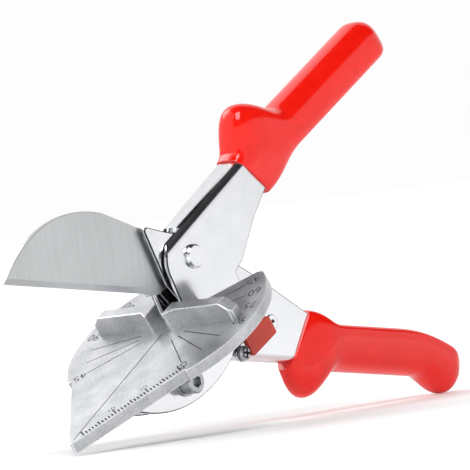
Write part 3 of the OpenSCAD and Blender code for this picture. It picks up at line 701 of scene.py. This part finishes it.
@dataclass
class BladeLever:
    """The lower channel with its grip, the blade, its packing and the opening spring. Sizes are in mm."""

    corner: float = 0.45
    blade_corner: float = 0.15
    lip: float = 0.3
    mouth_end: float = 73.0
    spring_centre: tuple[float, float] = (-17.0, -13.0)
    coil_r: float = 4.0
    wire_d: float = 1.0
    pitch: float = 1.5
    turns: int = 2
    leg_down: tuple[float, float] = (222.0, 27.69)
    leg_up: tuple[float, float] = (85.5, 33.88)
    wire_sides: int = 14
    points_per_turn: int = 36
    points_per_leg: int = 8

    def build(self) -> None:
        """Builds the lever's pieces."""
        channel = sheet_piece("lower_channel", "blade_lever_channel", self.corner)
        hand_over(channel, CHROME, Body.BLADE, "lower_channel")
        grip = dipped_grip("lower_grip", "blade_lever_grip", self.lip, BLADE_PLANE, self.mouth_end)
        hand_over(grip, DIPPED_PVC, Body.BLADE, "lower_grip")
        blade = copy_of("blade", "straight_blade")
        break_corners(blade, self.blade_corner, 2, degrees=TURNED_CORNER)
        smooth(blade, 20)
        hand_over(blade, GROUND_STEEL, Body.BLADE, "blade")
        for node in ("near_packing_plate", "far_packing_plate", "blade_rivets", "spring_pin"):
            paint(node, ZINC_STEEL)
        self.spring()

    def wire_route(self) -> list[Vector]:
        """The middle line of the spring's wire, from the foot of its lower leg to the top of its upper one.

        Returns:
            Points in the row frame, in metres.
        """
        start = self.leg_down[0] + 90
        total = self.turns * 360 + (self.leg_up[0] - 90 - start) % 360
        steps = math.ceil(total / 360 * self.points_per_turn)
        coil = []
        for i in range(steps + 1):
            a = math.radians(start + total * i / steps)
            coil.append((self.coil_r * math.cos(a), self.coil_r * math.sin(a),
                         self.pitch * total / 360 * (i / steps - 0.5)))

        def leg(root: tuple[float, float, float], way: tuple[float, float], part: float) -> tuple[float, float, float]:
            """A point part of the way along a leg."""
            a = math.radians(way[0])
            return root[0] + part * way[1] * math.cos(a), root[1] + part * way[1] * math.sin(a), root[2]

        n = self.points_per_leg
        lower = [leg(coil[0], self.leg_down, k / n) for k in range(n, 0, -1)]
        upper = [leg(coil[-1], self.leg_up, k / n) for k in range(1, n + 1)]
        x, y = self.spring_centre
        return [BLADE_PLANE.point(x + p[0], y + p[1], p[2]) for p in lower + coil + upper]

    def spring(self) -> None:
        """The torsion spring, drawn as round wire. Its upper leg leans on the anvil lever and stays there."""
        route = self.wire_route()
        line = bpy.data.curves.new("spring_wire", "CURVE")
        line.dimensions = "3D"
        line.bevel_depth = self.wire_d / 2 * MM
        line.bevel_resolution = self.wire_sides // 4
        line.use_fill_caps = True
        strand = line.splines.new("POLY")
        strand.points.add(len(route) - 1)
        for spot, p in zip(strand.points, route):
            spot.co = (*p, 1.0)
        wire = bpy.data.objects.new("spring_wire", line)
        bpy.context.scene.collection.objects.link(wire)
        choose(wire)
        bpy.ops.object.convert(target="MESH")
        wire = bpy.context.object
        in_edit_mode(wire, lambda: bpy.ops.mesh.normals_make_consistent(inside=False))
        smooth(wire, 50, keep_flats=False)
        wire.data.materials.clear()
        wire.data.materials.append(SPRING_WIRE.material())
        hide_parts("opening_spring")
        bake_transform(wire)
        LOG.info("%s: %d faces, %s", wire.name, len(wire.data.polygons), SPRING_WIRE.name)


# The latch


@dataclass
class ThumbLatch:
    """The latch with its sleeve, screw, bush and nut. Sizes are in mm."""

    corner: float = 0.2
    sleeve_corner: float = 0.35
    recess_top: float = 0.1
    recess: float = 1.6
    recess_r: float = 2.2

    def build(self) -> None:
        """Builds the latch's pieces."""
        hand_over(sheet_piece("latch_lever", "thumb_latch", self.corner), CHROME, Body.LATCH, "latch_lever")
        sleeve = copy_of("latch_sleeve", "thumb_latch_sleeve")
        edges = outer_edges(sleeve, TURNED_CORNER, self.sleeve_corner)
        break_corners(sleeve, self.sleeve_corner, 2, edges, clamp=False)
        smooth(sleeve)
        hand_over(sleeve, SLEEVE_PVC, Body.LATCH, "latch_sleeve")
        for node, name in (("latch_screw", "latch_cross_screw"), ("latch_nut", "latch_screw_nut")):
            piece = copy_of(node, name)
            if node == "latch_screw":
                self.shade_recess(piece)
            break_corners(piece, self.corner, 2, degrees=TURNED_CORNER)
            smooth(piece)
            hand_over(piece, ZINC_STEEL, Body.BLADE, node)
        paint("latch_bush", ZINC_STEEL)

    def shade_recess(self, screw: bpy.types.Object) -> None:
        """Paints shade into the cross recess in the screw's head, to make it dark.

        Args:
            screw: The screw, whose head is on the near side.
        """
        screw.data.materials.clear()
        screw.data.materials.append(ZINC_STEEL.material())
        screw.data.materials.append(PAINTED_GROOVE_SHADE.material())
        top = min(v.co.y for v in screw.data.vertices)
        x, z = [(min(v.co[i] for v in screw.data.vertices) + max(v.co[i] for v in screw.data.vertices)) / 2
                for i in (0, 2)]
        # Faces inside the recess get painted shade.
        for face in screw.data.polygons:
            spot = face.center
            wide = math.hypot(spot.x - x, spot.z - z)
            if top + self.recess_top * MM < spot.y < top + self.recess * MM and wide < self.recess_r * MM:
                face.material_index = 1


# The studio


@dataclass(frozen=True)
class SoftBox:
    """One soft lamp, in metres and watts."""

    name: str
    place: tuple[float, float, float]
    size: tuple[float, float]
    watts: float


@dataclass
class Studio:
    """The floor, the light and the camera. Sizes are in metres, and walls are heights from 0 to 1 with colours."""

    floor_size: float = 60.0
    floor_colour: str = "#F6F6F6"
    glow_reach: tuple[float, float] = (0.1, 0.6)
    glow: tuple[float, float] = (0.06, 0.58)
    front_edge: tuple[float, float] = (-0.12, 0.0)
    eye: tuple[float, float, float] = (-1.87238, -1.68353, 0.08435)
    azimuth: float = -48.141
    elevation: float = 0.3142
    roll: float = -7.6349
    lens: float = 524.474
    aim: tuple[float, float, float] = (0.0, 0.0, 0.07)
    back_wall: tuple[tuple[float, str], ...] = (
        (0.0, "#F0F0F0"), (0.58, "#FFFFFF"), (0.925, "#FFFFFF"), (0.945, "#141416"))
    front_wall: tuple[tuple[float, str], ...] = (
        (0.0, "#F0F0F0"), (0.58, "#FFFFFF"), (0.65, "#FFFFFF"), (0.68, "#303032"))
    boxes: list[SoftBox] = field(default_factory=lambda: [
        SoftBox("key_softbox", (-0.9, -1.1, 1.9), (1.2, 1.2), 35.0),
        SoftBox("back_softbox", (-0.2, 1.6, 1.5), (1.2, 0.9), 12.0),
    ])

    def build(self) -> None:
        """Builds the studio, with plain sRGB colours."""
        bpy.context.scene.view_settings.view_transform = "Standard"
        self.floor()
        self.sky()
        for box in self.boxes:
            self.lamp(box)
        self.camera()

    def floor(self) -> None:
        """A plain pale floor that glows as painted light, dimmed near the tool into a painted shadow pool."""
        bpy.ops.object.select_all(action="DESELECT")
        bpy.ops.mesh.primitive_plane_add(size=self.floor_size)
        floor = bpy.context.object
        floor.name = "studio_floor"
        sheet = bpy.data.materials.new("White studio sheet")
        sheet.use_nodes = True
        tree = sheet.node_tree
        tree.nodes.clear()
        place = add_node(tree, "ShaderNodeTexCoord").outputs["Object"]
        away = add_node(tree, "ShaderNodeVectorMath", {0: place}, operation="LENGTH")
        # The glow is weakest near the tool: a painted shadow pool there, painted light further out.
        glow = add_node(tree, "ShaderNodeMapRange", {
            "Value": away.outputs["Value"], "From Min": self.glow_reach[0], "From Max": self.glow_reach[1],
            "To Min": self.glow[0], "To Max": self.glow[1]})
        shader = add_node(tree, "ShaderNodeBsdfPrincipled", {
            "Base Color": linear(self.floor_colour), "Roughness": 0.5, "Specular IOR Level": 0.1,
            "Emission Strength": glow.outputs[0]})
        add_node(tree, "ShaderNodeOutputMaterial", {"Surface": shader.outputs[0]})
        floor.data.materials.append(sheet)

    def sky(self) -> None:
        """White walls under a ceiling that is dark above and over the camera, which draws the folds and grips."""
        world = bpy.data.worlds.new("Studio walls")
        bpy.context.scene.world = world
        world.use_nodes = True
        tree = world.node_tree
        tree.nodes.clear()
        way = add_node(tree, "ShaderNodeTexCoord").outputs["Generated"]
        parts = add_node(tree, "ShaderNodeSeparateXYZ", {"Vector": way})
        height = add_node(tree, "ShaderNodeMapRange", {
            "Value": parts.outputs["Z"], "From Min": -1.0, "From Max": 1.0})
        back = self.bands(tree, height.outputs[0], self.back_wall)
        front = self.bands(tree, height.outputs[0], self.front_wall)
        side = add_node(tree, "ShaderNodeMapRange", {
            "Value": parts.outputs["Y"], "From Min": self.front_edge[0], "From Max": self.front_edge[1]})
        walls = add_node(tree, "ShaderNodeMix", {0: side.outputs[0], 6: front, 7: back}, data_type="RGBA")
        light = add_node(tree, "ShaderNodeBackground", {"Color": walls.outputs[2], "Strength": 1.0})
        add_node(tree, "ShaderNodeOutputWorld", {"Surface": light.outputs[0]})

    def bands(self, tree: bpy.types.NodeTree, height: bpy.types.NodeSocket,
              stops: Sequence[tuple[float, str]]) -> bpy.types.NodeSocket:
        """Adds a wall's colours by height.

        Args:
            tree: The world's node tree.
            height: The socket that gives the height, from 0 below to 1 above.
            stops: Heights and colours, from the lowest up.

        Returns:
            The colour's socket.
        """
        node = add_node(tree, "ShaderNodeValToRGB", {"Fac": height})
        while len(node.color_ramp.elements) < len(stops):
            node.color_ramp.elements.new(0.5)
        for element, (spot, code) in zip(node.color_ramp.elements, stops):
            element.position = spot
            element.color = linear(code)
        return node.outputs[0]

    def lamp(self, box: SoftBox) -> None:
        """Adds a soft lamp that faces the tool.

        Args:
            box: The lamp's place, size and power.
        """
        light = bpy.data.lights.new(box.name, "AREA")
        light.shape = "RECTANGLE"
        light.size, light.size_y = box.size
        light.energy = box.watts
        lamp = bpy.data.objects.new(box.name, light)
        bpy.context.scene.collection.objects.link(lamp)
        way = Vector(self.aim) - Vector(box.place)
        lamp.matrix_world = Matrix.Translation(box.place) @ way.to_track_quat("-Z", "Y").to_matrix().to_4x4()

    def camera(self) -> None:
        """Puts the camera where the photograph was taken from."""
        lens = bpy.data.cameras.new("Photo view")
        lens.sensor_width = 36.0
        lens.lens = self.lens
        lens.clip_start, lens.clip_end = 0.05, 200.0
        eye = bpy.data.objects.new("Photo view", lens)
        bpy.context.scene.collection.objects.link(eye)
        turn = (Matrix.Rotation(math.radians(self.azimuth), 4, "Z")
                @ Matrix.Rotation(math.radians(90 - self.elevation), 4, "X")
                @ Matrix.Rotation(math.radians(self.roll), 4, "Z"))
        eye.matrix_world = Matrix.Translation(self.eye) @ turn
        bpy.context.scene.camera = eye


def main() -> None:
    """Builds the tool and the studio."""
    logging.basicConfig(level=logging.INFO, format="%(message)s")
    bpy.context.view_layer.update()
    for part in (AnvilLever(), BladeLever(), ThumbLatch(), Studio()):
        LOG.info("building %s", type(part).__name__)
        part.build()


if __name__ == "__main__":
    main()
